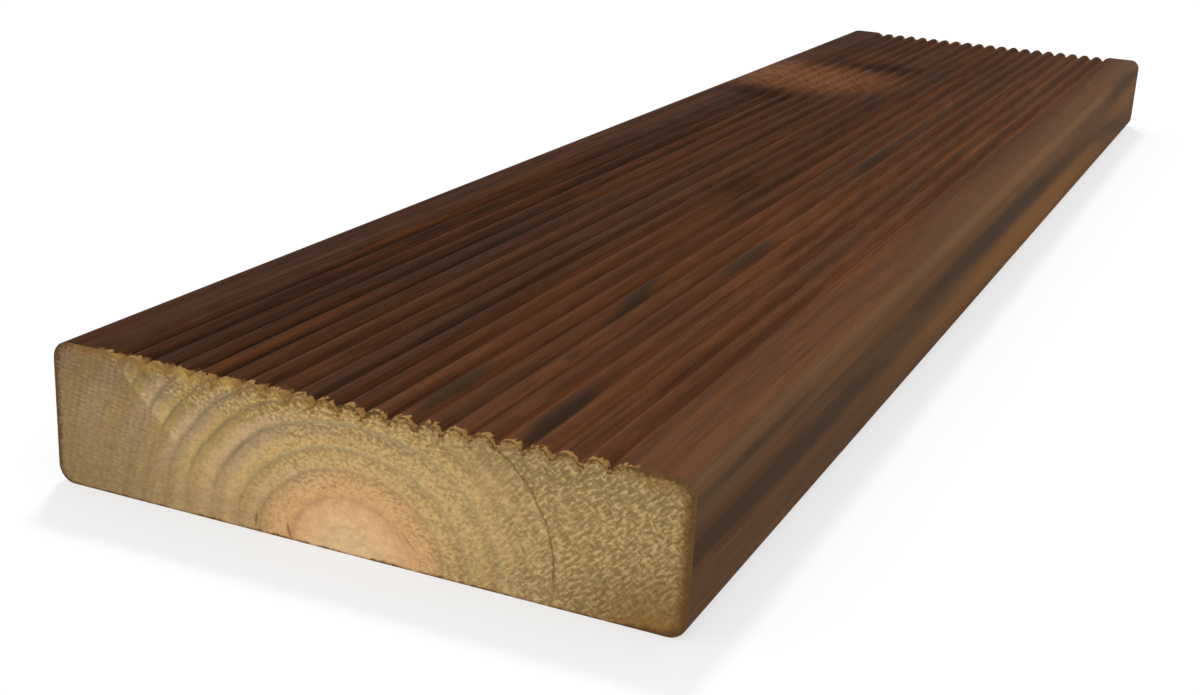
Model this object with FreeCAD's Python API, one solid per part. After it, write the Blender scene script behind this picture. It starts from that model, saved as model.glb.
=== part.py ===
# Reeded softwood decking board, a short length of stock sawn square at both ends.
#
# The board is one piece of timber, planed to a plain rounded section. A moulder
# has run fine reeds along its upper face: round-topped beads with narrow round-
# bottomed grooves between them, and a flat margin left beside each long edge.
# The underside and the two edges are plain.
#
# Frame: X across the width, Y along the length, Z up. The origin is the centre
# of the underside, so the board lies on the plane Z = 0, reeds up.
# All values are in millimetres.

import FreeCAD
import Part

import math
import os

from FreeCAD import Vector

# The planed stock
BOARD_LENGTH = 600.0
BOARD_WIDTH = 145.0
BOARD_THICKNESS = 32.0
ARRIS_RADIUS = 4.0

# The reeded face. LEAST_MARGIN is the flat that has to stay beside each long
# edge, its arris included: as many grooves are run as fit between the two.
GROOVE_PITCH = 5.8
GROOVE_DEPTH = 1.8
GROOVE_ROOT_RADIUS = 0.7
LEAST_MARGIN = 14.0

PARTS_FOLDER = "parts"


def point_at(x, z):
    """A point of the section, which stands in the plane of the board's near end."""
    return Vector(x, -BOARD_LENGTH / 2, z)


def line(start, end):
    """A straight edge of the section."""
    return Part.LineSegment(start, end).toShape()


def arc(centre_x, centre_z, radius, start_angle, end_angle):
    """An arc of the section, by the angles in degrees at which it starts and ends."""
    middle_angle = (start_angle + end_angle) / 2
    on_arc = []
    for angle in (start_angle, middle_angle, end_angle):
        turn = math.radians(angle)
        x = centre_x + radius * math.cos(turn)
        z = centre_z + radius * math.sin(turn)
        on_arc.append(point_at(x, z))
    return Part.Arc(*on_arc).toShape()


def groove_count():
    """How many grooves fit between the margins."""
    return int((BOARD_WIDTH - 2 * LEAST_MARGIN) / GROOVE_PITCH)


def reeds_half_width():
    """Distance from the board's centre line to where the reeds end and a margin starts."""
    return groove_count() * GROOVE_PITCH / 2


def crest_radius():
    """Radius of a bead's round top.

    The top and the groove's root meet with no flat between them, half a pitch
    apart and one groove depth apart in height, which fixes the sum of their radii.
    """
    half_pitch = GROOVE_PITCH / 2
    both_radii = (half_pitch ** 2 + GROOVE_DEPTH ** 2) / (2 * GROOVE_DEPTH)
    return both_radii - GROOVE_ROOT_RADIUS


def flank_angle():
    """Angle in degrees above the horizontal at which a bead passes into a groove."""
    crest_centre = BOARD_THICKNESS - crest_radius()
    root_centre = BOARD_THICKNESS - GROOVE_DEPTH + GROOVE_ROOT_RADIUS
    return math.degrees(math.atan2(root_centre - crest_centre, GROOVE_PITCH / 2))


def reeded_face():
    """Edges of the upper face's reeds, from right to left.

    The outermost half beads run level into the flat margins.
    """
    crest = crest_radius()
    flank = flank_angle()
    crest_centre = BOARD_THICKNESS - crest
    root_centre = BOARD_THICKNESS - GROOVE_DEPTH + GROOVE_ROOT_RADIUS
    edges = []
    for groove in range(groove_count()):
        bead_x = reeds_half_width() - groove * GROOVE_PITCH
        root_x = bead_x - GROOVE_PITCH / 2
        bead_start = 90 if groove == 0 else flank
        edges.append(arc(bead_x, crest_centre, crest, bead_start, 180 - flank))
        edges.append(arc(root_x, root_centre, GROOVE_ROOT_RADIUS, -flank, -180 + flank))
    edges.append(arc(-reeds_half_width(), crest_centre, crest, flank, 90))
    return edges


def board_section():
    """The board's whole section as a face, run round from the underside's left end."""
    flat_x = BOARD_WIDTH / 2 - ARRIS_RADIUS
    edge_x = BOARD_WIDTH / 2
    low_z = ARRIS_RADIUS
    high_z = BOARD_THICKNESS - ARRIS_RADIUS
    reeds_x = reeds_half_width()
    outline = [
        line(point_at(-flat_x, 0), point_at(flat_x, 0)),
        arc(flat_x, low_z, ARRIS_RADIUS, -90, 0),
        line(point_at(edge_x, low_z), point_at(edge_x, high_z)),
        arc(flat_x, high_z, ARRIS_RADIUS, 0, 90),
        line(point_at(flat_x, BOARD_THICKNESS), point_at(reeds_x, BOARD_THICKNESS)),
        *reeded_face(),
        line(point_at(-reeds_x, BOARD_THICKNESS), point_at(-flat_x, BOARD_THICKNESS)),
        arc(-flat_x, high_z, ARRIS_RADIUS, 90, 180),
        line(point_at(-edge_x, high_z), point_at(-edge_x, low_z)),
        arc(-flat_x, low_z, ARRIS_RADIUS, 180, 270),
    ]
    return Part.Face(Part.Wire(outline))


def decking_board():
    """The board: its section drawn out over its length."""
    return board_section().extrude(Vector(0, BOARD_LENGTH, 0))


os.makedirs(PARTS_FOLDER, exist_ok=True)
board = decking_board()
board.exportStep(os.path.join(PARTS_FOLDER, "decking_board.step"))
print("grooves:", groove_count(), "bead radius, mm:", round(crest_radius(), 3))
print("volume, litres:", round(board.Volume / 1e6, 4), "valid:", board.isValid())
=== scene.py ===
"""Looks of a short reeded softwood decking board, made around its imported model.

The board is one piece of pressure-treated timber. Its long faces are stained
brown, and the two ends are sawn through to the pale wood, so that they show the
growth rings, the marks of the saw and the torn fibres of the reeds.

Lengths are in metres, in the model's own frame: X across, Y along, Z up. The
places and sizes of marks and patterns are written in millimetres.
"""

import logging
import math
from dataclasses import dataclass
from enum import Enum
from functools import cached_property
from typing import NamedTuple, Sequence, Union

import bpy
from mathutils import Matrix, Vector


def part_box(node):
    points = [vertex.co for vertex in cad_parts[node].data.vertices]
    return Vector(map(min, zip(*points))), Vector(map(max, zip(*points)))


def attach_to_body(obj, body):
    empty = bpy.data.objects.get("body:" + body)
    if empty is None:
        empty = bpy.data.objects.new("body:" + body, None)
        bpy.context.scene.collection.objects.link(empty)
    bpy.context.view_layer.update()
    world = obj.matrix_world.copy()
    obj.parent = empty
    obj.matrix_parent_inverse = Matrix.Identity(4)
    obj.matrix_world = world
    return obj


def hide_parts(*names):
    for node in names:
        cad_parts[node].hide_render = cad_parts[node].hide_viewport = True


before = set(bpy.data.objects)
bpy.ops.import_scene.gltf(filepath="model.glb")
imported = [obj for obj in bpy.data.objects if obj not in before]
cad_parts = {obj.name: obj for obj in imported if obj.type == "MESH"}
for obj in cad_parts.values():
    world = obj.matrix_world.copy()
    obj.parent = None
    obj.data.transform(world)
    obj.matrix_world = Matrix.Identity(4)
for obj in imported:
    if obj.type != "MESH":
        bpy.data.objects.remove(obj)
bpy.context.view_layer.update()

LOG = logging.getLogger("decking_board")
BOARD_NODE = "decking_board"
BOARD_BODY = "root"

MM = 0.001
WHITE = (1.0, 1.0, 1.0)
FULL_TURN = 2 * math.pi
# Feature size along the board, in millimetres, of noise that the ends' relief leaves alone
EVEN = 1000.0
# A point of a block one unit wide is on its outer face when it lies past this
UNIT_FACE = 0.4999

Colour = tuple[float, float, float]
Number = Union[float, "Field"]
Paint = Union[Colour, "Field"]


class End(Enum):
    """The two sawn ends, by the side of the origin that they lie on."""

    NEAR = -1
    FAR = 1


# Fixed seeds, one for each end, so that the two ends have other fibres
FIBRE_SEEDS = {End.NEAR: 30, End.FAR: 230}


def ink(red: int, green: int, blue: int) -> Colour:
    """A colour for a shader, from its display values of 0 to 255.

    Args:
        red: Red display value.
        green: Green display value.
        blue: Blue display value.

    Returns:
        The three linear values.
    """
    linear = []
    for value in (red, green, blue):
        share = value / 255
        linear.append(share / 12.92 if share <= 0.04045 else ((share + 0.055) / 1.055) ** 2.4)
    return tuple(linear)


class Field:
    """One output of a node: a number, point or colour that varies over a piece, or a shape."""

    def __init__(self, pen: "Pen", socket: bpy.types.NodeSocket) -> None:
        """Keeps the output, and the pen that writes further nodes after it."""
        self.pen = pen
        self.socket = socket

    def math(self, operation: str, *others: Number) -> "Field":
        """The result of a Math node on this number and one or two others."""
        return self.pen.math(operation, self, *others)

    def __add__(self, other: Number) -> "Field":
        """This number plus another."""
        return self.math("ADD", other)

    def __sub__(self, other: Number) -> "Field":
        """This number less another."""
        return self.math("SUBTRACT", other)

    def __rsub__(self, other: Number) -> "Field":
        """Another number less this one."""
        return self.pen.math("SUBTRACT", other, self)

    def __mul__(self, other: Number) -> "Field":
        """This number times another."""
        return self.math("MULTIPLY", other)

    def __truediv__(self, other: Number) -> "Field":
        """This number divided by another."""
        return self.math("DIVIDE", other)

    def __abs__(self) -> "Field":
        """This number without its sign."""
        return self.math("ABSOLUTE")

    __radd__ = __add__

    def least(self, other: Number) -> "Field":
        """The smaller of this number and another."""
        return self.math("MINIMUM", other)

    def most(self, other: Number) -> "Field":
        """The larger of this number and another."""
        return self.math("MAXIMUM", other)

    def sine(self) -> "Field":
        """The sine of this angle."""
        return self.math("SINE")

    def root(self) -> "Field":
        """The square root of this number, or 0 where it is below 0."""
        return self.most(0.0).math("SQRT")

    def reach(self, other: "Field") -> "Field":
        """The long side of a right angle whose short sides are this number and another."""
        return (self * self + other * other).math("SQRT")

    def ramp(self, start: Number, end: Number, low: Number = 0.0, high: Number = 1.0,
             smooth: bool = True) -> "Field":
        """A rise or fall between two levels that follows this number.

        Args:
            start: Where it leaves the first level.
            end: Where it reaches the second level, and stays there.
            low: The first level.
            high: The second level.
            smooth: Whether both ends are eased.

        Returns:
            The level.
        """
        kind = "SMOOTHSTEP" if smooth else "LINEAR"
        numbers = dict(enumerate((self, start, end, low, high)))
        return self.pen.node("ShaderNodeMapRange", numbers, interpolation_type=kind)

    def fade(self, start: float, end: float, low: Number = 0.0, high: Number = 1.0,
             smooth: bool = True) -> "Field":
        """A ramp whose start and end are lengths in millimetres."""
        return self.ramp(start * MM, end * MM, low, high, smooth)


class Pen:
    """Writes nodes into one tree, so that a shape or a pattern reads as a formula.

    The same formulas serve the Geometry Nodes that shape the board and the
    shaders that finish it, because both kinds of tree have these nodes.
    """

    def __init__(self, tree: bpy.types.NodeTree) -> None:
        """Starts writing in a shader tree or a Geometry Nodes tree."""
        self.tree = tree

    def feed(self, socket: bpy.types.NodeSocket, value: object) -> None:
        """Links a field to an input, or sets the input's own value.

        Args:
            socket: The input.
            value: A field, a list of fields that are joined, or a plain value.
        """
        if isinstance(value, list):
            for part in value:
                self.feed(socket, part)
        elif isinstance(value, Field):
            self.tree.links.new(value.socket, socket)
        elif socket.type == "RGBA":
            socket.default_value = (*value, 1.0)
        else:
            socket.default_value = value

    def node(self, kind: str, inputs: dict[Union[int, str], object], output: Union[int, str] = 0,
             **settings: object) -> Field:
        """Adds a node and feeds it.

        Args:
            kind: The node's type name.
            inputs: What goes into its inputs, by their names or numbers.
            output: Name or number of the output that is wanted.
            settings: Properties to set on it.

        Returns:
            That output.
        """
        made = self.tree.nodes.new(kind)
        for name, value in settings.items():
            setattr(made, name, value)
        for name, value in inputs.items():
            self.feed(made.inputs[name], value)
        return Field(self, made.outputs[output])

    def math(self, operation: str, *values: Number) -> Field:
        """The result of a Math node on one, two or three numbers."""
        return self.node("ShaderNodeMath", dict(enumerate(values)), operation=operation)

    def choose(self, amount: Number, under: Number, over: Number) -> Field:
        """Goes from one number at 0 to another at 1."""
        return under + (over - under) * amount

    def point(self, x: Number, y: Number, z: Number) -> Field:
        """Puts three numbers together as a point."""
        return self.node("ShaderNodeCombineXYZ", {0: x, 1: y, 2: z})

    def parts(self, point: Field) -> "Place":
        """Takes a point apart into its three numbers."""
        split = self.node("ShaderNodeSeparateXYZ", {0: point}).socket.node
        return Place(*(Field(self, socket) for socket in split.outputs))

    def noise(self, point: Field, detail: float = 2.0, roughness: float = 0.5, seed: float = 0.0) -> Field:
        """Smooth random values about 0.5, whose features are one unit of the point wide.

        Args:
            point: Where it is read, in units of the features.
            detail: How many finer layers it has.
            roughness: How strong the finer layers are.
            seed: A fixed number that gives another pattern.

        Returns:
            The value.
        """
        inputs = {"Vector": point, "Scale": 1.0, "Detail": detail, "Roughness": roughness}
        if seed:
            inputs["W"] = seed
        return self.node("ShaderNodeTexNoise", inputs, noise_dimensions="4D" if seed else "3D")

    def specks(self, place: "Place", across: float, along: float, up: float, **look: float) -> Field:
        """Noise whose features have a size in millimetres each way.

        Args:
            place: Where it is read.
            across: Size across the board, or 0 if the noise doesn't follow that way.
            along: Size along the board, or 0.
            up: Size upwards, or 0.
            look: The noise's detail, roughness and seed.

        Returns:
            The value, about 0.5.
        """
        sizes = (across, along, up)
        point = self.point(*(part / (size * MM) if size else 0.0 for part, size in zip(place, sizes)))
        return self.noise(point, **look)

    def grain(self, place: "Place", across: float, along: float, **look: float) -> Field:
        """Noise drawn out along the board, as wood fibres are."""
        return self.specks(place, across, along, across, **look)

    def paint(self, amount: Number, under: Paint, over: Paint) -> Field:
        """Lays one colour over another: 0 leaves the lower one, and 1 hides it."""
        # The node's sockets for colours are numbers 6 and 7, and number 2 of its outputs
        return self.node("ShaderNodeMix", {0: amount, 6: under, 7: over}, 2, data_type="RGBA")

    def shade(self, colour: Field, amount: Number) -> Field:
        """Makes a colour lighter or darker by a factor."""
        return self.node("ShaderNodeVectorMath", {0: colour, "Scale": amount}, operation="SCALE")

    def palette(self, value: Field, stops: Sequence[tuple[float, Colour]]) -> Field:
        """Reads a colour from a row of colours.

        Args:
            value: Where in the row, from 0 to 1.
            stops: Each colour with its place in the row.

        Returns:
            The colour.
        """
        row = self.node("ShaderNodeValToRGB", {0: value})
        elements = row.socket.node.color_ramp.elements
        while len(elements) < len(stops):
            elements.new(0.5)
        for element, (where, colour) in zip(elements, stops):
            element.position = where
            element.color = (*colour, 1.0)
        return row


class Place(NamedTuple):
    """The point that is being shaped or finished."""

    x: Field
    y: Field
    z: Field


@dataclass(frozen=True)
class ReededSection:
    """The board's section: the plain planed stock with reeds along its upper face.

    Its sizes are plain numbers in a shader, and a tree's named inputs in
    Geometry Nodes.
    """

    width: Number
    thickness: Number
    arris: Number
    pitch: Number
    depth: Number
    root_radius: Number
    grooves: Number

    def bead_radius(self) -> Number:
        """Radius of a bead's round top, which meets the groove's root with no flat between."""
        half = self.pitch * 0.5
        return (half * half + self.depth * self.depth) / (self.depth * 2.0) - self.root_radius

    def reeds_half_width(self) -> Number:
        """Distance from the middle of the board to where the reeds end."""
        return self.grooves * self.pitch * 0.5

    def groove_fall(self, x: Field) -> Field:
        """How far the reeded face lies below the top of the beads.

        Args:
            x: Place across the board.

        Returns:
            The fall, which is 0 on the flat margins.
        """
        bead = self.bead_radius()
        root = self.root_radius
        off_bead = abs(x.math("WRAP", self.pitch * 0.5, self.pitch * -0.5))
        off_root = self.pitch * 0.5 - off_bead
        bead_fall = bead - (bead * bead - off_bead * off_bead).root()
        root_fall = self.depth - root + (root * root - off_root * off_root).root()
        in_root = off_bead.math("GREATER_THAN", bead / (bead + root) * self.pitch * 0.5)
        in_reeds = abs(x).math("LESS_THAN", self.reeds_half_width())
        return x.pen.choose(in_root, bead_fall, root_fall) * in_reeds

    def rim_depth(self, x: Field, z: Field) -> Field:
        """How far a point of the sawn end lies inside the section's outline.

        Args:
            x: Place across the board.
            z: Height.

        Returns:
            The distance, by the plain outline and by the reeded one, whichever is nearer.
        """
        off_side = abs(x) - (self.width * 0.5 - self.arris)
        off_flat = abs(z - self.thickness * 0.5) - (self.thickness * 0.5 - self.arris)
        in_corner = off_side.most(0.0).reach(off_flat.most(0.0))
        plain = self.arris - in_corner - off_side.most(off_flat).least(0.0)
        return plain.least(self.thickness - self.groove_fall(x) - z)


@dataclass(frozen=True)
class GrowthRings:
    """The rings of the trunk that the board was sawn from, seen on its ends.

    The pith lies just above the middle of the underside. The rings are wider
    than they are high, and each radius is measured upwards from the pith.
    """

    pith_x: float = 0.5 * MM
    pith_z: float = 1.0 * MM
    flattening: float = 1.28
    radii: tuple[float, ...] = (5.0, 11.0, 16.7, 21.0, 26.5, 31.5, 35.3, 39.5, 43.2, 48.4)
    outer_spacing: float = 4.2 * MM
    wobble: float = 1.1 * MM
    line_share: float = 0.17

    def radius(self, place: Place) -> Field:
        """Distance from the pith, with the rings' own unevenness.

        Args:
            place: Where it is read.

        Returns:
            The radius, in metres.
        """
        pen = place.x.pen
        across = (place.x - self.pith_x) / self.flattening
        broad = pen.grain(place, 17, 400, detail=1.0) - 0.5
        close = pen.grain(place, 3, 300, seed=4.0) - 0.5
        bare = across.reach(place.z - self.pith_z)
        return bare + broad * (self.wobble * 1.8) + close * (self.wobble * 0.6)

    def number(self, radius: Field) -> Field:
        """Counts the rings from the pith outwards.

        Args:
            radius: Distance from the pith.

        Returns:
            A whole number on each ring's dark line, and shares of one between.
        """
        inner = [0.0, *self.radii]
        count = (radius - inner[-1] * MM).most(0.0) / self.outer_spacing
        for start, end in zip(inner, inner[1:]):
            count = count + radius.fade(start, end, smooth=False)
        return count

    def line(self, count: Field) -> Field:
        """The thin dark line between two rings, 1 on the line and 0 away from it."""
        return abs(count.math("FRACT") - 0.5).ramp(0.5 - self.line_share, 0.5)

    def late_wood(self, count: Field) -> Field:
        """The slow darkening inside each ring, towards its outer side."""
        return count.math("FRACT").ramp(0.35, 0.95)


@dataclass(frozen=True)
class Streak:
    """A long soft mark along the grain, or a check on an end, in millimetres.

    It is a lens about a centre, given across and along the face it lies on, and
    it leans sideways by slant for each millimetre along.
    """

    across: float
    along: float
    half_width: float
    half_length: float
    slant: float = 0.0
    strength: float = 1.0

    def mask(self, across: Field, along: Field, ragged: Field) -> Field:
        """Where the mark is.

        Args:
            across: Place across the face.
            along: Place along the face.
            ragged: Noise about 0 that breaks up the mark's edge.

        Returns:
            Its strength in the middle, and 0 outside it.
        """
        run = along - self.along * MM
        aside = across - self.across * MM - run * self.slant
        out = (aside / (self.half_width * MM)).reach(run / (self.half_length * MM))
        return (out + ragged).ramp(1.15, 0.3, 0.0, self.strength)


def all_marks(marks: Sequence[Streak], across: Field, along: Field, ragged: Field) -> Field:
    """Several marks together, each place as strong as the strongest mark there.

    Args:
        marks: The marks.
        across: Place across the face.
        along: Place along the face.
        ragged: Noise about 0 that breaks up their edges.

    Returns:
        The strength.
    """
    together, *others = (mark.mask(across, along, ragged) for mark in marks)
    for mask in others:
        together = together.most(mask)
    return together


class Coat:
    """The coats of one material, laid one over another on a principled shader."""

    def __init__(self, name: str) -> None:
        """Makes the bare white material.

        Args:
            name: Name of the material.
        """
        self.material = bpy.data.materials.new(name)
        self.material.use_nodes = True
        self.shader = self.material.node_tree.nodes["Principled BSDF"]
        self.pen = Pen(self.material.node_tree)
        self.place = self.pen.parts(self.pen.node("ShaderNodeTexCoord", {}, "Object"))
        self.colour: Paint = WHITE

    def specks(self, across: float, along: float, up: float, **look: float) -> Field:
        """Noise over the piece, whose features have a size in millimetres each way."""
        return self.pen.specks(self.place, across, along, up, **look)

    def grain(self, across: float, along: float, **look: float) -> Field:
        """Noise over the piece, drawn out along the board."""
        return self.pen.grain(self.place, across, along, **look)

    def paint(self, amount: Number, over: Paint) -> None:
        """Lays a colour over the coats so far: 0 leaves them, and 1 hides them."""
        self.colour = self.pen.paint(amount, self.colour, over)

    def shade(self, amount: Number) -> None:
        """Makes the coats so far lighter or darker by a factor."""
        self.colour = self.pen.shade(self.colour, amount)

    def relief(self, height: Field, distance: float, strength: float) -> None:
        """Gives the surface a fine relief.

        Args:
            height: Height from 0 to 1.
            distance: What a height of 1 is, in metres.
            strength: Share of the relief that shows.
        """
        bump = {"Strength": strength, "Distance": distance, "Height": height}
        self.pen.feed(self.shader.inputs["Normal"], self.pen.node("ShaderNodeBump", bump))

    def dry(self, roughness: Number, specular: float) -> bpy.types.Material:
        """Puts the colour on the shader and sets how it shines.

        Args:
            roughness: How rough the surface is.
            specular: How strongly it shines.

        Returns:
            The finished material.
        """
        self.pen.feed(self.shader.inputs["Base Color"], self.colour)
        self.pen.feed(self.shader.inputs["Roughness"], roughness)
        self.shader.inputs["Specular IOR Level"].default_value = specular
        return self.material


@dataclass(frozen=True)
class StainedTimber:
    """Brown stain on planed softwood: the reeded face, the two edges and the underside.

    The stain follows the grain in fine streaks, and has slate-grey streaks, a
    patch of cross grain about a knot, and a few dark runs. Its grooves are dark
    near the left corner, partly gathered stain and partly painted shade, and
    painted lighter elsewhere as painted light. The top is painted lighter to
    the right, and the side faces lighter than the top, partly paler stain and
    partly painted sheen and light.
    """

    section: ReededSection
    rings: GrowthRings
    half_length: float
    stain: tuple[tuple[float, Colour], ...] = (
        (0.0, ink(28, 17, 10)),
        (0.25, ink(49, 29, 18)),
        (0.5, ink(75, 46, 29)),
        (0.75, ink(97, 61, 38)),
        (1.0, ink(134, 90, 58)),
    )
    middle_tone: float = 0.445
    slate: Colour = ink(45, 36, 27)
    weathered: Colour = ink(51, 42, 32)
    rust: Colour = ink(124, 80, 50)
    rust_shade: Colour = ink(92, 56, 36)
    amber: Colour = ink(124, 83, 42)
    # Right margin of the top: partly paler stain and partly painted sheen
    pale_stain_and_sheen: Colour = ink(104, 76, 54)
    # Dark paint in the grooves of the near left corner: partly gathered stain and partly painted shade
    groove: Colour = ink(30, 18, 13)
    torn: Colour = ink(148, 114, 66)
    warm: Colour = ink(112, 62, 30)
    cool: Colour = ink(58, 50, 40)
    greyed: Colour = ink(92, 80, 60)
    slate_streaks: tuple[Streak, ...] = (
        Streak(24.5, -10, 2.0, 32),
        Streak(29.0, -152, 3.6, 27),
        Streak(18.5, -200, 2.0, 24, slant=-0.1),
        Streak(36.5, -282, 2.6, 20),
        Streak(12.0, -280, 2.0, 23),
        Streak(24.0, -249, 1.2, 5, strength=0.7),
        Streak(-12.0, -215, 1.9, 95, strength=0.4),
        Streak(-33.0, -190, 4.0, 60, strength=0.3),
    )
    dark_runs: tuple[Streak, ...] = (
        Streak(-1.0, -72, 5.5, 28, strength=0.6),
        Streak(-26.0, 189, 24, 15, strength=0.9),
        Streak(-50.0, 92, 19, 15, strength=0.8),
    )
    knot: Streak = Streak(-48.0, 142, 44, 46)
    edge_slate: tuple[Streak, ...] = (
        Streak(17.0, -262, 5.0, 140, slant=-0.01),
        Streak(20.0, -20, 5.4, 260, slant=-0.01, strength=0.85),
        Streak(12.0, 216, 4.6, 70, slant=-0.08, strength=0.7),
        Streak(28.0, 246, 6.0, 62, strength=0.8),
        Streak(27.5, -262, 1.6, 40, strength=0.7),
    )
    edge_rust: tuple[Streak, ...] = (
        Streak(9.5, 40, 7.5, 230),
        Streak(19.0, 262, 6.5, 70, strength=0.8),
        Streak(27.5, -60, 4.5, 230, strength=0.3),
    )

    @cached_property
    def coat(self) -> Coat:
        """The coats laid so far."""
        return Coat("brown_stained_timber")

    @cached_property
    def upper(self) -> Field:
        """1 on the reeded face, and 0 below it."""
        top = self.section.thickness
        return self.coat.place.z.ramp(top - 4 * MM, top - 2.4 * MM)

    @cached_property
    def streaks(self) -> Field:
        """The streaks that the grain makes in the stain, about 0.5."""
        return self.coat.grain(1.5, 150, detail=3.0, seed=2.0)

    @cached_property
    def ragged(self) -> Field:
        """Noise about 0 that breaks up the edges of the marks."""
        return (self.streaks - 0.5) * 2.6

    def make(self) -> bpy.types.Material:
        """Writes the material.

        Returns:
            The finished material.
        """
        coat, streaks = self.coat, self.streaks
        fibre = coat.grain(0.7, 14, detail=3.0)
        runs = coat.grain(9, 280, seed=5.0)
        even = self.middle_tone + (fibre - 0.5) * 0.36 + (streaks - 0.5) * 0.5 + (runs - 0.5) * 0.32
        # The top is painted lighter to the right, partly paler stain and partly painted sheen, and lighter
        # at the near end
        coat.colour = coat.pen.palette(even + self.lighter_parts() * self.upper, self.stain)
        self.drifting_hue()
        self.figure()
        self.reeded_face()
        self.edges()
        self.torn_ends()
        coat.relief(fibre * 0.6 + streaks * 0.4, 0.22 * MM, strength=0.7)
        return coat.dry(streaks.ramp(0.3, 0.7, 0.5, 0.65), specular=0.003)

    def lighter_parts(self) -> Field:
        """How much lighter the top is painted to the right, partly paler stain and partly painted sheen, and
        at the near end.

        Returns:
            What is added to the tone, below 0 to the left.
        """
        x, y, _ = self.coat.place
        rightmost = y.fade(-200, 80, 0.08, 0.0)
        return x.fade(-45, 60, -0.12, rightmost, smooth=False) + y.fade(-210, -300, 0.0, 0.045)

    def drifting_hue(self) -> None:
        """Lets the stain's hue drift between a warm brown and a cool one along the grain."""
        slow = self.coat.grain(9, 120, detail=1.0, seed=12.0)
        close = self.coat.grain(1.6, 45, seed=13.0)
        drift = slow * 0.55 + close * 0.45
        self.coat.paint(drift.ramp(0.5, 0.66, 0.0, 0.22), self.warm)
        self.coat.paint(drift.ramp(0.5, 0.36, 0.0, 0.22), self.cool)

    def figure(self) -> None:
        """Darkens the stain faintly along the growth rings, which wander along the board."""
        pen, (x, y, z) = self.coat.pen, self.coat.place
        drift = pen.noise(pen.point(0.0, y / (210 * MM), 3.0), detail=1.0) - 0.5
        shifted = Place(x + drift * (24 * MM), y, z + drift * (7 * MM))
        count = self.rings.number(self.rings.radius(shifted))
        self.coat.shade(1.0 - self.rings.late_wood(count) * 0.16)

    def reeded_face(self) -> None:
        """Adds the marks of the reeded face: its knot, runs and streaks, and the painted light, painted
        shade and gathered stain of its grooves.
        """
        coat, upper, ragged = self.coat, self.upper, self.ragged
        x, y, _ = coat.place
        knot = self.knot.mask(x, y, ragged * 0.35) * upper
        cross_grain = coat.specks(5, 1.8, 5).ramp(0.32, 0.68)
        coat.paint(knot * 0.68, coat.pen.paint(cross_grain, self.rust, self.rust_shade))
        coat.shade(1.0 - all_marks(self.dark_runs, x, y, ragged * 0.4) * upper * 0.5)
        coat.paint(all_marks(self.slate_streaks, x, y, ragged * 0.3) * upper * 0.8, self.slate)
        # The grooves are painted lighter to the right and far away, as painted light against the shade in
        # them, and dark in the near left corner, partly gathered stain and partly painted shade
        in_groove = (self.section.groove_fall(x) / self.section.depth).ramp(0.2, 0.95) * upper
        worn = (x + y * 0.12).fade(-30, 45, 0.15, 0.5) + y.fade(-250, 160, 0.0, 0.5)
        coat.shade(1.0 + in_groove * worn)
        coat.paint(in_groove * (y + x * 3.0).fade(-150, -400, 0.0, 0.45), self.groove)

    def edges(self) -> None:
        """Lightens the right margin as paler stain and painted sheen, lightens both side faces as paler
        stain and painted light, adds the right edge's streaks, and darkens the lowest few millimetres.
        """
        coat, ragged = self.coat, self.ragged
        x, y, z = coat.place
        half = self.section.width * 0.5
        inner, outer = half - 3 * MM, half - 0.8 * MM
        on_edge, right = abs(x).ramp(inner, outer), x.ramp(inner, outer)
        margin = x.ramp(half - 17 * MM, half - 4 * MM) * self.upper * y.fade(-240, 0, 0.4, 1.0)
        # The right margin is painted lighter, more so far away: partly paler stain and partly painted sheen
        coat.paint(margin * 0.42, self.pale_stain_and_sheen)
        coat.paint(on_edge * 0.25, self.greyed)
        # Both side faces are painted lighter, more so far away: partly a paler stain and partly painted
        # light
        coat.shade(1.0 + on_edge * y.fade(-200, 300, 0.22, 0.36))
        coat.paint(all_marks(self.edge_rust, z, y, ragged * 0.4) * right * 0.6, self.amber)
        coat.paint(all_marks(self.edge_slate, z, y, ragged * 0.35) * right * 0.66, self.weathered)
        coat.shade(1.0 - z.fade(2.6, 0.6) * 0.45)

    def torn_ends(self) -> None:
        """Lets the pale wood show at both ends, where the saw tore the beads and the left grooves."""
        coat, section = self.coat, self.section
        x, y, _ = coat.place
        reeds = section.reeds_half_width()
        from_end = self.half_length - abs(y)
        close = coat.specks(0.8, 1.6, 0)
        depth = coat.specks(6, 0, 0, seed=21.0).ramp(0.35, 0.65, 0.3 * MM, 2.0 * MM)
        depth = depth + section.groove_fall(x).fade(0.2, 1.2) * x.fade(8, -24) * (3.2 * MM)
        torn = (from_end - (close - 0.45) * (5.5 * MM)).ramp(depth, depth * 0.3) * self.upper
        coat.paint(torn * abs(x).ramp(reeds + 4 * MM, reeds) * 0.85, self.torn)


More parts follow.
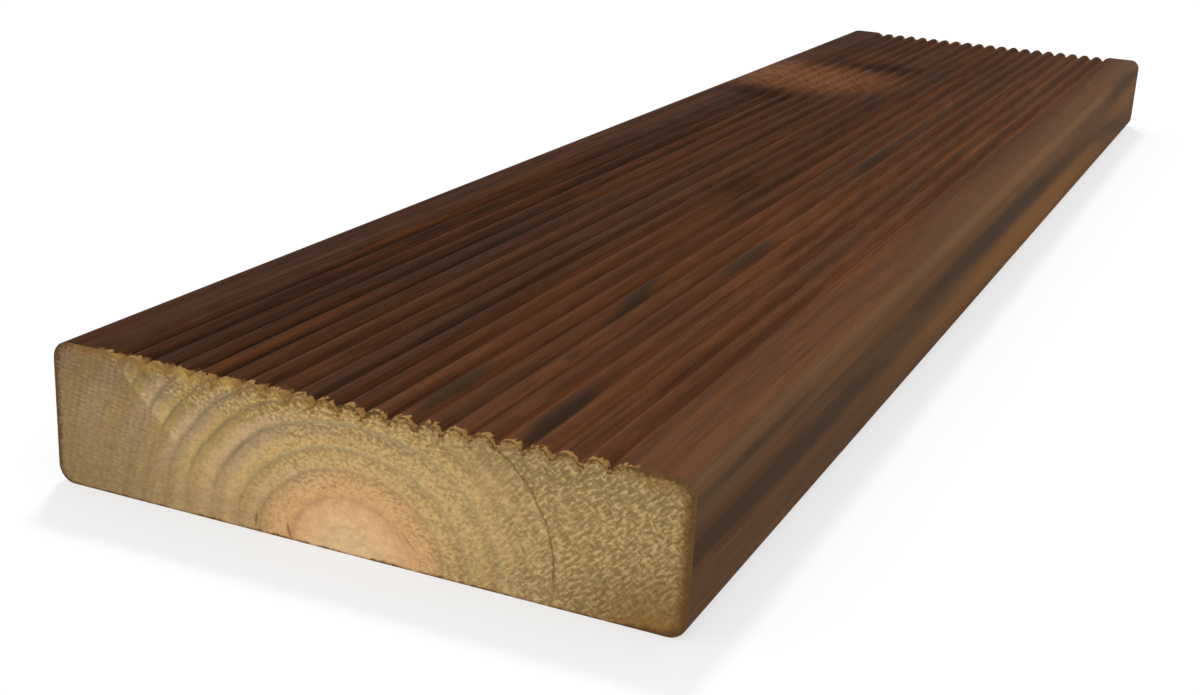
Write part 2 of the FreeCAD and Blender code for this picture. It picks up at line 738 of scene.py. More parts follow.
@dataclass(frozen=True)
class SawnEnd:
    """The pale sawn ends: heartwood, growth rings, saw marks and a stained rim."""

    section: ReededSection
    rings: GrowthRings
    pith: Colour = ink(208, 172, 128)
    heart: Colour = ink(210, 166, 121)
    about_heart: Colour = ink(200, 155, 108)
    middle: Colour = ink(180, 148, 102)
    outer: Colour = ink(156, 130, 86)
    yellow: Colour = ink(184, 154, 88)
    fur: Colour = ink(200, 170, 106)
    brownish: Colour = ink(134, 104, 58)
    pinkish: Colour = ink(178, 150, 116)
    ring_line: Colour = ink(120, 102, 74)
    pale_ring: Colour = ink(156, 140, 102)
    warm_ring: Colour = ink(166, 118, 78)
    olive: Colour = ink(112, 88, 44)
    dull: Colour = ink(122, 98, 66)
    pale_dash: Colour = ink(202, 174, 114)
    golden: Colour = ink(134, 96, 44)
    tuft_gold: Colour = ink(200, 162, 82)
    rim: Colour = ink(80, 55, 26)
    dark: Colour = ink(58, 44, 26)
    checks: tuple[Streak, ...] = (
        Streak(-22.0, 2.6, 0.45, 2.4, slant=0.1, strength=0.8),
        Streak(-14.2, 2.0, 0.5, 2.4, slant=-0.3, strength=0.7),
        Streak(13.5, 6.0, 0.45, 2.4, slant=-1.0, strength=0.5),
    )
    golden_tufts: tuple[Streak, ...] = (
        Streak(-38.5, 30.6, 4.0, 2.6, strength=0.6),
        Streak(-28.5, 30.8, 3.4, 2.2, strength=0.5),
        Streak(-48.0, 30.6, 3.2, 2.2, strength=0.3),
    )
    pale_wedge: Streak = Streak(-47.0, 23.0, 3.4, 7.0, slant=-0.9, strength=0.3)
    cut_line_offset: float = 26.7 * MM
    cut_line_bend: float = 16.0 * MM
    dash_leans: tuple[float, float] = (0.9, -0.8)
    level_tooth: float = 1.05 * MM
    upright_tooth: float = 1.7 * MM
    shake_radius: float = 35.0 * MM
    shake_spread: float = 0.104

    @cached_property
    def coat(self) -> Coat:
        """The coats laid so far."""
        return Coat("pale_sawn_end")

    @cached_property
    def radius(self) -> Field:
        """Distance from the pith."""
        return self.rings.radius(self.coat.place)

    @cached_property
    def count(self) -> Field:
        """Number of the ring."""
        return self.rings.number(self.radius)

    @cached_property
    def line(self) -> Field:
        """1 on the thin dark lines between the rings."""
        return self.rings.line(self.count)

    @cached_property
    def fuzz(self) -> Field:
        """The finest fibres, about 0.5."""
        return self.coat.specks(1.0, 1, 0.75, detail=3.0, roughness=0.62)

    @cached_property
    def broad(self) -> Field:
        """Broad unevenness about 0."""
        return self.coat.specks(9, 1, 6) - 0.5

    @cached_property
    def right(self) -> Field:
        """1 in the right third of the end."""
        return (self.coat.place.x + self.broad * (24 * MM)).fade(16, 44)

    @cached_property
    def furry(self) -> Field:
        """Where the saw left the end furry: under the reeds, and over the middle rings.

        Returns:
            The share, from 0 to 1, and little of it on the rings' dark lines.
        """
        x, _, z = self.coat.place
        radius, uneven = self.radius, self.broad * (16 * MM)
        under_reeds = (z + uneven * 0.5).fade(21, 27) * (abs(x + 9 * MM) + uneven).fade(42, 30)
        over_heart = (abs(radius - 22 * MM) + uneven * 0.6).fade(13, 6) * abs(x - 6 * MM).fade(30, 18)
        everywhere = x.fade(-34, -12, 0.1, 0.45) * radius.fade(9, 15) * x.fade(30, 14, 0.3, 1.0)
        return under_reeds.most(over_heart * 0.8).most(everywhere) * (1.0 - self.line * 0.85)

    @cached_property
    def weave(self) -> Field:
        """Short dashes that lean both ways, where the saw tore the outer wood.

        Returns:
            1 on a dash, 0 between them.
        """
        pen, (x, _, z) = self.coat.pen, self.coat.place
        dashes = []
        for lean in self.dash_leans:
            along = (x + z * lean) / (2.2 * MM)
            across = (z - x * lean) / (0.9 * MM)
            dashes.append(pen.noise(pen.point(along, across, lean * 10.0), detail=3.0))
        patch = self.coat.specks(1.7, EVEN, 1.7, detail=1.0, seed=15.0)
        return pen.choose(patch.ramp(0.46, 0.7), *dashes).ramp(0.28, 0.72)

    def make(self) -> bpy.types.Material:
        """Writes the material.

        Returns:
            The finished material.
        """
        self.wood()
        self.cut_marks()
        self.ring_lines()
        self.furred()
        self.woven()
        self.saw_lines()
        self.cracks()
        self.bruised_corner()
        self.rimmed()
        coat = self.coat
        tufts = coat.specks(0.9, 1, 0.7, detail=1.0)
        height = tufts * (0.3 + self.furry * 0.7) + self.weave * self.right * 0.6 + self.line * 0.15
        coat.relief(height, 0.22 * MM, strength=0.8)
        return coat.dry(0.85, specular=0.15)

    def wood(self) -> None:
        """Lays the wood's own colour, from the warm heart to the olive outer wood."""
        coat, radius, count, broad = self.coat, self.radius, self.count, self.broad
        x, _, z = coat.place
        near_pith = radius + broad * (3 * MM)
        coat.colour = self.pith
        coat.paint(near_pith.fade(3, 9), self.heart)
        coat.paint(near_pith.fade(9.5, 12), self.about_heart)
        coat.paint(near_pith.fade(14.5, 18.5), self.middle)
        coat.paint((radius + broad * (7 * MM)).fade(23, 42), self.outer)
        # To the upper left of the pith the rings have two tones in turn
        sector = x.fade(4, -20) * z.fade(6, 18)
        between = count.math("PINGPONG", 1.0)
        coat.paint(between.ramp(0.3, 0.8) * sector * 0.6, self.pinkish)
        coat.paint(between.ramp(0.5, 0.1) * sector * 0.4, self.yellow)
        early = abs(count.math("FRACT") - 0.4).ramp(0.3, 0.05) * radius.fade(12, 18)
        coat.shade(1.0 + early * radius.fade(50, 40) * 0.09)

    def cut_marks(self) -> None:
        """Dulls the wood on the left, above and below, with a pale line where the cut changed."""
        coat, broad = self.coat, self.broad
        x, _, z = coat.place
        coat.paint((x + broad * (12 * MM)).fade(-42, -56) * 0.34, self.dull)
        past = self.past_cut_line(broad)
        edge = z.fade(13, 18, 4.5 * MM, 0.7 * MM)
        coat.paint(past.ramp(edge, edge * -0.7) * z.fade(6, 17, 0.1, 0.34), self.dull)
        coat.paint(abs(past - 1.0 * MM).fade(1.6, 0.2) * z.fade(13, 18) * 0.3, self.pale_dash)
        coat.paint(self.pale_wedge.mask(x, z, broad), self.pale_dash)
        high = (z + broad * (6 * MM)).fade(19, 29)
        low = z.fade(13, 2) * self.radius.fade(13, 18) * x.fade(-56, -32, 0.25, 1.0)
        mottled = coat.specks(2.6, 1, 2.0, detail=3.0, seed=19.0)
        shade = 1.0 - high * 0.2 - low * 0.15 - x.fade(-58, -72) * 0.12
        coat.shade(shade * (1.0 + (mottled - 0.5) * 0.5))

    def past_cut_line(self, uneven: Field) -> Field:
        """Distance to the right of the line where the saw's pressure changed.

        The line falls from the top left at forty-five degrees, then stands upright.

        Args:
            uneven: Unevenness about 0.

        Returns:
            The distance, in metres, negative to the left.
        """
        height = self.coat.place.z.most(self.cut_line_bend)
        return self.coat.place.x + height + self.cut_line_offset + uneven * (2.4 * MM)

    def ring_lines(self) -> None:
        """Draws the rings, clear to the upper left of the pith and faint to its right."""
        coat, radius, count = self.coat, self.radius, self.count
        x, _, z = coat.place
        uneven = coat.specks(6, 9, 6, seed=9.0)
        clear = (x - z * 0.6).fade(20, -22, radius.fade(34, 27, 0.2, 0.75), 1.0)
        clear = clear * radius.fade(52, 46, 0.15, 1.0) * radius.fade(6, 10, 0.3, 1.0)
        clear = clear * x.fade(-32, -12, z.fade(6, 20, 0.3, 1.0), 1.0)
        clear = clear * self.past_cut_line(uneven - 0.5).fade(-1, 1, z.fade(8, 18, 0.7, 0.2), 1.0)
        crisp = x.fade(2, -26, 0.6, 0.95) * radius.fade(13, 22, 0.75, 1.0)
        coat.shade(1.0 - self.rings.late_wood(count) * clear * crisp * 0.26)
        beside = abs(count.math("FRACT") - 0.12).ramp(0.09, 0.02) * radius.fade(14, 18)
        beside = beside * radius.fade(42, 34) * x.fade(-26, -6)
        coat.paint(beside * clear * 0.4, self.fur)
        line = self.line * clear * uneven.ramp(0.3, 0.65, 0.45, 1.0)
        pale = (x - z * 0.5).fade(-34, -20) * radius.fade(19, 22)
        tone = coat.pen.paint(radius.fade(13, 19), self.warm_ring, self.ring_line)
        coat.paint(line * crisp * (1.0 - pale) * 0.85, tone)
        coat.paint(line * pale * 0.7, self.pale_ring)

    def furred(self) -> None:
        """Colours the furry wood: yellow-green fibres with dark gaps."""
        coat, fuzz = self.coat, self.fuzz
        coat.shade(fuzz.ramp(0.3, 0.7, 0.92, 1.08))
        coat.paint(fuzz.ramp(0.46, 0.68) * self.furry * 0.8, self.fur)
        coat.paint(fuzz.ramp(0.55, 0.3) * self.furry * 0.75, self.brownish)

    def woven(self) -> None:
        """Colours the dashes of the right third: pale on the dashes as painted highlight, and olive between
        them as painted shade.
        """
        coat, weave, right = self.coat, self.weave, self.right
        x, _, z = coat.place
        # Painted shade in olive between the dashes, then painted highlight in pale on them
        shadowed = (x - z * 0.5).fade(40, 66, 0.5, 0.85)
        coat.paint(weave.ramp(0.7, 0.1) * right * shadowed, self.olive)
        lit = (x - z * 0.3).fade(52, 66, 0.62, 0.38)
        coat.paint(weave.ramp(0.5, 1.0) * right * lit, self.pale_dash)

    def saw_lines(self) -> None:
        """Adds the fine cross-hatching that the saw's teeth left, mostly to the left."""
        coat = self.coat
        x, _, z = coat.place
        sway = coat.specks(4, EVEN, 4, detail=1.0, seed=7.0) * (1.6 * MM)
        level = ((z + x * 0.12 + sway) * (FULL_TURN / self.level_tooth)).sine()
        upright = ((x - z * 0.22 + sway) * (FULL_TURN / self.upright_tooth)).sine()
        broken = coat.specks(3, EVEN, 1.5, detail=1.0, seed=8.0).ramp(0.3, 0.6)
        left = x.fade(-30, -54, 0.15, 1.0) * z.fade(10, 22, 0.45, 1.0)
        coat.shade(1.0 + (level * 0.55 + upright * 0.45) * broken * left * 0.2)

    def cracks(self) -> None:
        """Adds the shake along a ring to the right, and the small checks at the bottom."""
        coat, fuzz = self.coat, self.fuzz
        x, _, z = coat.place
        off = abs(self.radius - self.shake_radius - z * self.shake_spread + (fuzz - 0.5) * (0.9 * MM))
        shake = off.fade(0.3, 0.04) * x.fade(29, 33) * z.fade(1, 7) * fuzz.ramp(0.35, 0.6, 0.45, 1.0)
        coat.paint(shake * 0.75, self.rim)
        coat.paint(all_marks(self.checks, x, z, (fuzz - 0.5) * 0.8) * 0.7, self.dark)

    def bruised_corner(self) -> None:
        """Darkens the lower right corner, where the stain ran furthest in."""
        coat = self.coat
        x, _, z = coat.place
        corner = (x + (self.fuzz - 0.5) * (12 * MM) - z * 0.4).fade(42, 66) * z.fade(17, 1.5)
        coat.shade(1.0 - corner * 0.26)
        coat.paint(corner * 0.5, self.golden)

    def rimmed(self) -> None:
        """Lets the brown stain creep a little way into the end grain, and adds its golden tufts."""
        coat, fuzz = self.coat, self.fuzz
        x, _, z = coat.place
        low, high = z.fade(3, 1), z.fade(24, 28)
        left, right, sides = x.fade(-66, -71), x.fade(55, 66), abs(x).fade(66, 70)
        patches = coat.specks(2.2, EVEN, 2.2, seed=17.0)
        uneven = (fuzz - 0.5) * (2.0 * MM + high * (3.2 * MM) - low * (1.6 * MM))
        inside = self.section.rim_depth(x, z) + uneven + (patches - 0.5) * (1.6 * MM)
        ragged = high * x.fade(34, 8, 0.5, 1.0) * (1.0 - sides * 0.8)
        reach = 1.0 * MM + right * (2.2 * MM) + left * (0.5 * MM) + ragged * (1.5 * MM) - low * (0.4 * MM)
        coat.paint(inside.ramp(reach * 1.2, reach * 0.3) * (0.65 - sides * 0.1), self.golden)
        stained = reach * (0.6 + sides * 0.5)
        torn_over = high * x.fade(4, -22) * (1.0 - sides)
        coat.paint(inside.ramp(stained, stained * 0.15) * (0.85 - torn_over * 0.55), self.rim)
        coat.paint(all_marks(self.golden_tufts, x, z, (fuzz - 0.4) * 3.4), self.tuft_gold)


@dataclass(frozen=True)
class TornFibre:
    """Loose pale fibres that the saw pulled out of the end grain."""

    pale: Colour = ink(170, 140, 88)
    straw: Colour = ink(116, 86, 46)

    def make(self) -> bpy.types.Material:
        """Writes the material.

        Returns:
            The finished material.
        """
        coat = Coat("torn_pale_fibre")
        coat.colour = self.straw
        coat.paint(coat.specks(2.5, 2.5, 2.5).ramp(0.35, 0.65), self.pale)
        return coat.dry(0.8, specular=0.2)


class TreeInput(Enum):
    """Kinds of named input that a Geometry Nodes tree has."""

    LENGTH = "NodeSocketFloat"
    COUNT = "NodeSocketInt"


class ShapeTree:
    """A Geometry Nodes tree with named inputs, turned into a plain mesh when it is done."""

    def __init__(self, name: str) -> None:
        """Starts an empty tree.

        Args:
            name: Name of the tree.
        """
        self.tree = bpy.data.node_groups.new(name, "GeometryNodeTree")
        self.pen = Pen(self.tree)
        self.start = self.tree.nodes.new("NodeGroupInput")
        self.values: dict[str, float] = {}

    def input(self, name: str, value: float, kind: TreeInput = TreeInput.LENGTH) -> Field:
        """Adds a named input.

        Args:
            name: Name of the input.
            value: The value that this board gives it.
            kind: What kind of number it is.

        Returns:
            The input as a field.
        """
        item = self.tree.interface.new_socket(name, in_out="INPUT", socket_type=kind.value)
        self.values[item.identifier] = value
        return Field(self.pen, self.start.outputs[name])

    def random(self, low: Number, high: Number, seed: int) -> Field:
        """A random number for each point, between two values and by a fixed seed."""
        # The node's sockets for plain numbers are numbers 2 and 3, and number 1 of its outputs
        limits = {2: low, 3: high, "Seed": seed}
        return self.pen.node("FunctionNodeRandomValue", limits, 1, data_type="FLOAT")

    def finish(self, geometry: Field, name: str) -> bpy.types.Object:
        """Ends the tree and makes its result a piece with a plain mesh.

        Args:
            geometry: The tree's result.
            name: Name of the piece.

        Returns:
            The piece, whose place is in its mesh.
        """
        self.tree.interface.new_socket("Geometry", in_out="OUTPUT", socket_type="NodeSocketGeometry")
        self.pen.feed(self.tree.nodes.new("NodeGroupOutput").inputs[0], geometry)
        piece = bpy.data.objects.new(name, bpy.data.meshes.new(name))
        bpy.context.scene.collection.objects.link(piece)
        modifier = piece.modifiers.new("shape", "NODES")
        modifier.node_group = self.tree
        for identifier, value in self.values.items():
            modifier[identifier] = value
        ready = bpy.context.evaluated_depsgraph_get()
        mesh = bpy.data.meshes.new_from_object(piece.evaluated_get(ready), depsgraph=ready)
        mesh.name = name
        piece.modifiers.remove(modifier)
        piece.data = mesh
        return piece


@dataclass
class Board:
    """The board's body: the planed and reeded stock with its two sawn ends."""

    length: float
    section: ReededSection
    stained: bpy.types.Material
    sawn: bpy.types.Material
    arris_columns: int = 8
    flat_columns: int = 4
    reed_columns: int = 10
    rows_along: int = 110
    rows_up: int = 58
    root_bias: float = 0.4
    end_bias: float = 0.9
    end_relief: float = 0.22 * MM
    crest_wear: float = 0.14 * MM
    torn_drop: float = 2.2
    crisp_angle: float = math.radians(55)
    end_facing: float = 0.6
    seed: float = 11.0

    def build(self) -> bpy.types.Object:
        """Builds the board as one closed mesh.

        Returns:
            The piece.
        """
        shape = ShapeTree("reeded_board_shape")
        pen, own = shape.pen, self.section
        section = ReededSection(
            width=shape.input("Width", own.width),
            thickness=shape.input("Thickness", own.thickness),
            arris=shape.input("Arris radius", own.arris),
            pitch=shape.input("Groove pitch", own.pitch),
            depth=shape.input("Groove depth", own.depth),
            root_radius=shape.input("Groove root radius", own.root_radius),
            grooves=shape.input("Grooves", own.grooves, TreeInput.COUNT),
        )
        length = shape.input("Length", self.length)
        relief = shape.input("End relief", self.end_relief)
        wear = shape.input("Bead wear", self.crest_wear)
        columns = section.grooves * float(self.reed_columns) + 2.0 * (self.arris_columns + self.flat_columns)
        block = pen.node("GeometryNodeMeshCube", {
            "Vertices X": columns + 1.0,
            "Vertices Y": self.rows_along,
            "Vertices Z": self.rows_up,
        }, "Mesh")
        unit = pen.parts(pen.node("GeometryNodeInputPosition", {}))
        place = self.planed(section, columns, length, unit)
        place = self.worn(section, place, unit, relief, wear)
        moved = pen.node("GeometryNodeSetPosition", {"Geometry": block, "Position": pen.point(*place)})
        return shape.finish(self.dressed(moved), BOARD_NODE + "_timber")

    def planed(self, section: ReededSection, columns: Field, length: Field, unit: Place) -> Place:
        """Wraps a block of one unit's size onto the board's section and length.

        Args:
            section: The section, with the tree's inputs as its sizes.
            columns: How many columns of faces the block has across.
            length: Length of the board.
            unit: The block's own points, from -0.5 to 0.5.

        Returns:
            The wrapped point.
        """
        choose = unit.x.pen.choose
        round_end = float(self.arris_columns)
        flat_end = float(self.arris_columns + self.flat_columns)
        column = (unit.x + 0.5) * columns
        from_side = column.least(columns - column)
        turn = from_side.ramp(0.0, round_end, math.pi / 2, 0.0, smooth=False)
        flat = section.width * 0.5 - section.reeds_half_width() - section.arris
        past_arris = from_side.ramp(round_end, flat_end, smooth=False)
        inset = section.arris * (1.0 - turn.sine()) + flat * past_arris
        in_margin = unit.x.math("SIGN") * (section.width * 0.5 - inset)
        bead = (column - flat_end) / float(self.reed_columns)
        sway = (bead * FULL_TURN).sine() * (self.root_bias / FULL_TURN)
        in_reeds = section.pitch * (bead - section.grooves * 0.5 + sway)
        x = choose(from_side.math("GREATER_THAN", flat_end), in_margin, in_reeds)
        rounding = section.arris * (1.0 - turn.math("COSINE"))
        z = choose(unit.z + 0.5, rounding, section.thickness - rounding - section.groove_fall(x))
        crowd = ((unit.y + 0.5) * FULL_TURN).sine() * (self.end_bias / FULL_TURN)
        return Place(x, length * (unit.y - crowd), z)

    def worn(self, section: ReededSection, place: Place, unit: Place, relief: Field, wear: Field) -> Place:
        """Wears the beads a little, and leaves the saw's relief on the ends, always inwards.

        Args:
            section: The section, with the tree's inputs as its sizes.
            place: The planed point.
            unit: The block's own points.
            relief: Depth of the saw's relief.
            wear: Greatest wear of a bead.

        Returns:
            The worn point.
        """
        x, y, z = place
        specks = x.pen.specks
        on_end = abs(unit.y).math("GREATER_THAN", UNIT_FACE)
        upper = unit.z.math("GREATER_THAN", UNIT_FACE)
        in_reeds = abs(x).math("LESS_THAN", section.reeds_half_width())
        in_rim = section.rim_depth(x, z).fade(0.2, 1.6, 0.12, 1.0)
        low_spots = specks(place, 1.3, 1, 1.0, seed=self.seed).ramp(0.32, 0.68) * on_end * in_rim
        slow = specks(place, 4, 45, 0, detail=1.0, seed=self.seed + 1.0).ramp(0.3, 0.7)
        torn = specks(place, 0.9, 0.8, 0, detail=1.0, seed=self.seed + 2.0).ramp(0.4, 0.7)
        drop = slow + abs(unit.y).ramp(0.47, 0.5) * torn * self.torn_drop
        return Place(x, y - unit.y.math("SIGN") * low_spots * relief, z - drop * wear * upper * in_reeds)

    def dressed(self, geometry: Field) -> Field:
        """Gives the long faces and the ends their own finishes, with crisp edges between them.

        Args:
            geometry: The worn board.

        Returns:
            The dressed board.
        """
        pen = geometry.pen
        angle = pen.node("GeometryNodeInputMeshEdgeAngle", {}, "Unsigned Angle")
        crisp = pen.node("GeometryNodeSetShadeSmooth", {
            "Geometry": geometry,
            "Selection": angle.math("GREATER_THAN", self.crisp_angle),
            "Shade Smooth": False,
        }, domain="EDGE")
        joined = pen.node("GeometryNodeRealizeInstances", {"Geometry": crisp})
        stain = pen.node("GeometryNodeSetMaterial", {"Geometry": joined, "Material": self.stained})
        normal = pen.parts(pen.node("GeometryNodeInputNormal", {}))
        return pen.node("GeometryNodeSetMaterial", {
            "Geometry": stain,
            "Selection": abs(normal.y).math("GREATER_THAN", self.end_facing),
            "Material": self.sawn,
        })


@dataclass
class TornFibres:
    """Curled fibres along the torn beads and over the furry part of one sawn end."""

    end: End
    board: Board
    material: bpy.types.Material
    seed: int
    bead_fibres: int = 300
    loose_fibres: int = 160
    bend_radius: float = 1.5 * MM
    bend: float = math.radians(58)
    thickness: float = 0.10 * MM
    tip_share: float = 0.25
    steps: int = 4
    corners: int = 3
    sunk_radii: float = 1.3
    leans: tuple[float, float] = (-0.35, 0.1)
    sizes: tuple[float, float] = (0.35, 0.8)
    bead_depths: tuple[float, float] = (0.9 * MM, 2.0 * MM)

    def build(self) -> bpy.types.Object:
        """Builds the fibres of this end as one mesh.

        Returns:
            The piece.
        """
        name = f"torn_fibres_{self.end.name.lower()}"
        side = float(self.end.value)
        shape = ShapeTree(name + "_shape")
        pen = shape.pen
        radius = shape.input("Bend radius", self.bend_radius)
        thickness = shape.input("Fibre radius", self.thickness)
        bead_count = shape.input("Bead fibres", self.bead_fibres, TreeInput.COUNT)
        loose_count = shape.input("Loose fibres", self.loose_fibres, TreeInput.COUNT)
        half_length = shape.input("Half length", self.board.length * 0.5)
        fibre = self.fibre(radius, thickness)
        plane = half_length * side - thickness * side * self.sunk_radii
        loose = self.loose_points(shape, loose_count, plane)
        on_beads = self.bead_points(shape, bead_count, plane)
        placed = []
        for order, points in enumerate((loose, on_beads)):
            spin = shape.random(-math.pi, math.pi, self.seed + 10 + order)
            lean = shape.random(*self.leans, self.seed + 20 + order)
            size = shape.random(*self.sizes, self.seed + 40 + order)
            placed.append(pen.node("GeometryNodeInstanceOnPoints", {
                "Points": points,
                "Instance": fibre,
                "Rotation": pen.node("FunctionNodeEulerToRotation", {0: pen.point(lean, spin, 0.0)}),
                "Scale": pen.point(size, 1.0, size),
            }))
        joined = pen.node("GeometryNodeJoinGeometry", {0: placed})
        real = pen.node("GeometryNodeRealizeInstances", {"Geometry": joined})
        kept = self.kept_inside(real, half_length)
        dressed = pen.node("GeometryNodeSetMaterial", {"Geometry": kept, "Material": self.material})
        return shape.finish(dressed, name)

    def kept_inside(self, geometry: Field, half_length: Field) -> Field:
        """Presses the fibres back to the faces that they would stand out of.

        Args:
            geometry: The fibres.
            half_length: Distance from the board's middle to its ends.

        Returns:
            The fibres, inside the board's own box.
        """
        pen = geometry.pen
        x, y, z = pen.parts(pen.node("GeometryNodeInputPosition", {}))
        y = y.least(half_length).most(half_length * -1.0)
        inside = pen.point(x, y, z.least(self.board.section.thickness))
        return pen.node("GeometryNodeSetPosition", {"Geometry": geometry, "Position": inside})

    def fibre(self, radius: Field, thickness: Field) -> Field:
        """One curled fibre in the plane of the end, thin at its tips.

        Args:
            radius: Radius that the fibre is bent to.
            thickness: Half its thickness in the middle.

        Returns:
            The fibre's mesh.
        """
        pen = radius.pen
        arc = pen.node("GeometryNodeCurveArc", {
            "Resolution": self.steps + 1,
            "Radius": radius,
            "Sweep Angle": self.bend,
        }, "Curve", mode="RADIUS")
        quarter_turn = (math.pi / 2, 0.0, 0.0)
        stood_up = pen.node("GeometryNodeTransform", {"Geometry": arc, "Rotation": quarter_turn})
        outline = pen.node("GeometryNodeCurvePrimitiveCircle", {
            "Resolution": self.corners,
            "Radius": thickness,
        }, "Curve", mode="RADIUS")
        along = pen.node("GeometryNodeSplineParameter", {}, "Factor")
        return pen.node("GeometryNodeCurveToMesh", {
            "Curve": stood_up,
            "Profile Curve": outline,
            "Scale": (along * math.pi).sine() * (1.0 - self.tip_share) + self.tip_share,
            "Fill Caps": True,
        })

    def bead_points(self, shape: ShapeTree, count: Field, plane: Field) -> Field:
        """Points just under the reeded outline of the end.

        Args:
            shape: The tree.
            count: How many points.
            plane: Where the end lies along the board.

        Returns:
            The points.
        """
        section = self.board.section
        half = section.reeds_half_width()
        x = shape.random(-half, half, self.seed)
        below = shape.random(*self.bead_depths, self.seed + 1)
        where = shape.pen.point(x, plane, section.thickness - section.groove_fall(x) - below)
        return shape.pen.node("GeometryNodePoints", {"Count": count, "Position": where})

    def loose_points(self, shape: ShapeTree, count: Field, plane: Field) -> Field:
        """Points over the furry band under the reeds, thinned out at its edges.

        Args:
            shape: The tree.
            count: How many points are tried.
            plane: Where the end lies along the board.

        Returns:
            The points that are kept.
        """
        pen, section = shape.pen, self.board.section
        half = section.width * 0.5 - 2 * MM
        x = shape.random(-half, half, self.seed + 2)
        z = shape.random(2 * MM, section.thickness - 3 * MM, self.seed + 3)
        furry = z.fade(15, 26) * abs(x + 6 * MM).fade(44, 24)
        kept = furry.math("GREATER_THAN", shape.random(0.0, 1.0, self.seed + 4))
        tried = pen.node("GeometryNodePoints", {"Count": count, "Position": pen.point(x, plane, z)})
        dropped = {"Geometry": tried, "Selection": 1.0 - kept}
        return pen.node("GeometryNodeDeleteGeometry", dropped, domain="POINT")


@dataclass(frozen=True)
class Viewpoint:
    """Where the picture is taken from. Azimuth 0 looks along the board."""

    location: tuple[float, float, float] = (0.163777, -0.561403, 0.149338)
    azimuth: float = 23.152
    elevation: float = 18.660
    roll: float = 3.164
    lens: float = 50.636
    sensor_width: float = 36.0

    def build(self) -> None:
        """Makes the camera and gives it to the scene."""
        turn, tilt, roll = (math.radians(angle) for angle in (self.azimuth, self.elevation, self.roll))
        ahead = Vector((-math.sin(turn) * math.cos(tilt), math.cos(turn) * math.cos(tilt), -math.sin(tilt)))
        level = Vector((math.cos(turn), math.sin(turn), 0.0))
        upright = level.cross(ahead)
        right = level * math.cos(roll) + upright * math.sin(roll)
        up = upright * math.cos(roll) - level * math.sin(roll)
        data = bpy.data.cameras.new("camera")
        data.lens = self.lens
        data.sensor_width = self.sensor_width
        data.clip_start = 0.01
        data.clip_end = 100.0
        camera = bpy.data.objects.new("camera", data)
        bpy.context.scene.collection.objects.link(camera)
        turned = Matrix((right, up, -ahead)).transposed().to_4x4()
        camera.matrix_world = Matrix.Translation(self.location) @ turned
        bpy.context.scene.camera = camera


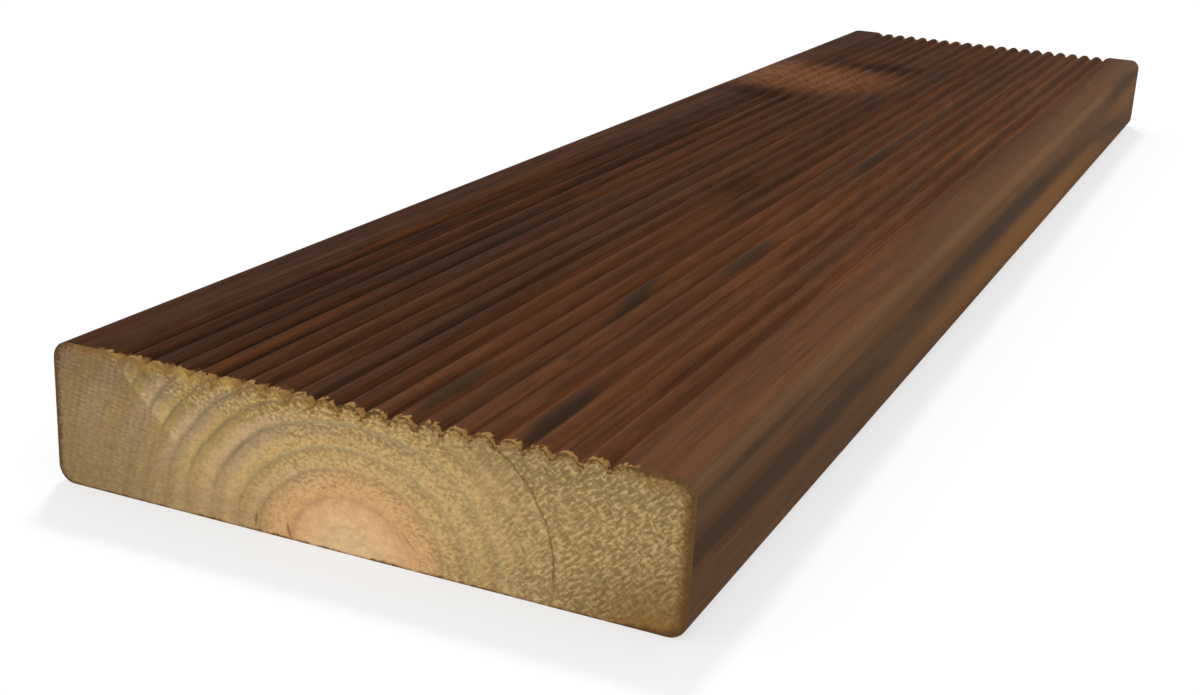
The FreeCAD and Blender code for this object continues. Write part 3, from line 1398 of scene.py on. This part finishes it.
@dataclass(frozen=True)
class Studio:
    """A plain white floor under soft light."""

    floor_half: float = 12.0
    floor_gap: float = 0.02 * MM
    floor_glow: float = 0.635
    floor_grey: float = 0.28
    sky: float = 1.0
    key_strength: float = 1.65
    key_softness: float = math.radians(8.0)
    key_direction: tuple[float, float, float] = (0.30, -0.66, -1.0)
    fill_power: float = 3.2
    fill_size: float = 1.1
    fill_place: tuple[float, float, float] = (0.9, -1.5, 0.8)
    aim: tuple[float, float, float] = (0.0, -0.15, 0.02)

    def build(self) -> None:
        """Lays the floor, and lights it evenly, from behind to the left, and from the front."""
        self.floor()
        self.world()
        key = bpy.data.lights.new("key", "SUN")
        key.energy = self.key_strength
        key.angle = self.key_softness
        self.hang(key, Vector(self.key_direction))
        fill = bpy.data.lights.new("fill", "AREA")
        fill.energy = self.fill_power
        fill.shape = "DISK"
        fill.size = self.fill_size
        lamp = self.hang(fill, Vector(self.aim) - Vector(self.fill_place))
        lamp.location = self.fill_place
        bpy.context.scene.view_settings.view_transform = "Standard"

    def floor(self) -> None:
        """Lays the floor a hair below the board. It isn't part of the board."""
        half, level = self.floor_half, -self.floor_gap
        mesh = bpy.data.meshes.new("studio_floor")
        corners = [(-half, -half, level), (half, -half, level), (half, half, level), (-half, half, level)]
        mesh.from_pydata(corners, [], [(0, 1, 2, 3)])
        material = bpy.data.materials.new("studio_white")
        material.use_nodes = True
        shader = material.node_tree.nodes["Principled BSDF"]
        looks = {
            "Base Color": (self.floor_grey, self.floor_grey, self.floor_grey, 1.0),
            "Roughness": 0.9,
            "Specular IOR Level": 0.0,
            "Emission Color": (*WHITE, 1.0),
            "Emission Strength": self.floor_glow,
        }
        for name, value in looks.items():
            shader.inputs[name].default_value = value
        mesh.materials.append(material)
        floor = bpy.data.objects.new("studio_floor", mesh)
        bpy.context.scene.collection.objects.link(floor)

    def world(self) -> None:
        """Lights everything evenly from all round."""
        world = bpy.data.worlds.new("studio")
        world.use_nodes = True
        background = world.node_tree.nodes["Background"]
        background.inputs["Color"].default_value = (*WHITE, 1.0)
        background.inputs["Strength"].default_value = self.sky
        bpy.context.scene.world = world

    def hang(self, data: bpy.types.Light, direction: Vector) -> bpy.types.Object:
        """Hangs a light in the scene.

        Args:
            data: The light.
            direction: Where it shines to.

        Returns:
            The light's object.
        """
        light = bpy.data.objects.new(data.name, data)
        light.rotation_mode = "QUATERNION"
        light.rotation_quaternion = direction.to_track_quat("-Z", "Y")
        bpy.context.scene.collection.objects.link(light)
        return light


def attach(piece: bpy.types.Object) -> None:
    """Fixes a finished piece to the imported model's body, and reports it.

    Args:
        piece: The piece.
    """
    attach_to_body(piece, BOARD_BODY)
    LOG.info("%s: %d faces", piece.name, len(piece.data.polygons))


def main() -> None:
    """Builds and dresses the board, then the studio around it."""
    logging.basicConfig(level=logging.INFO, format="%(message)s")
    low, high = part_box(BOARD_NODE)
    section = ReededSection(
        width=high.x - low.x,
        thickness=high.z - low.z,
        arris=4.0 * MM,
        pitch=5.8 * MM,
        depth=1.8 * MM,
        root_radius=0.7 * MM,
        grooves=20,
    )
    length = high.y - low.y
    rings = GrowthRings()
    stained = StainedTimber(section, rings, length / 2).make()
    sawn = SawnEnd(section, rings).make()
    fibre = TornFibre().make()
    board = Board(length, section, stained, sawn)
    timber = board.build()
    attach(timber)
    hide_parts(BOARD_NODE)
    for end in End:
        attach(TornFibres(end, board, fibre, FIBRE_SEEDS[end]).build())
    Studio().build()
    Viewpoint().build()


if __name__ == "__main__":
    main()
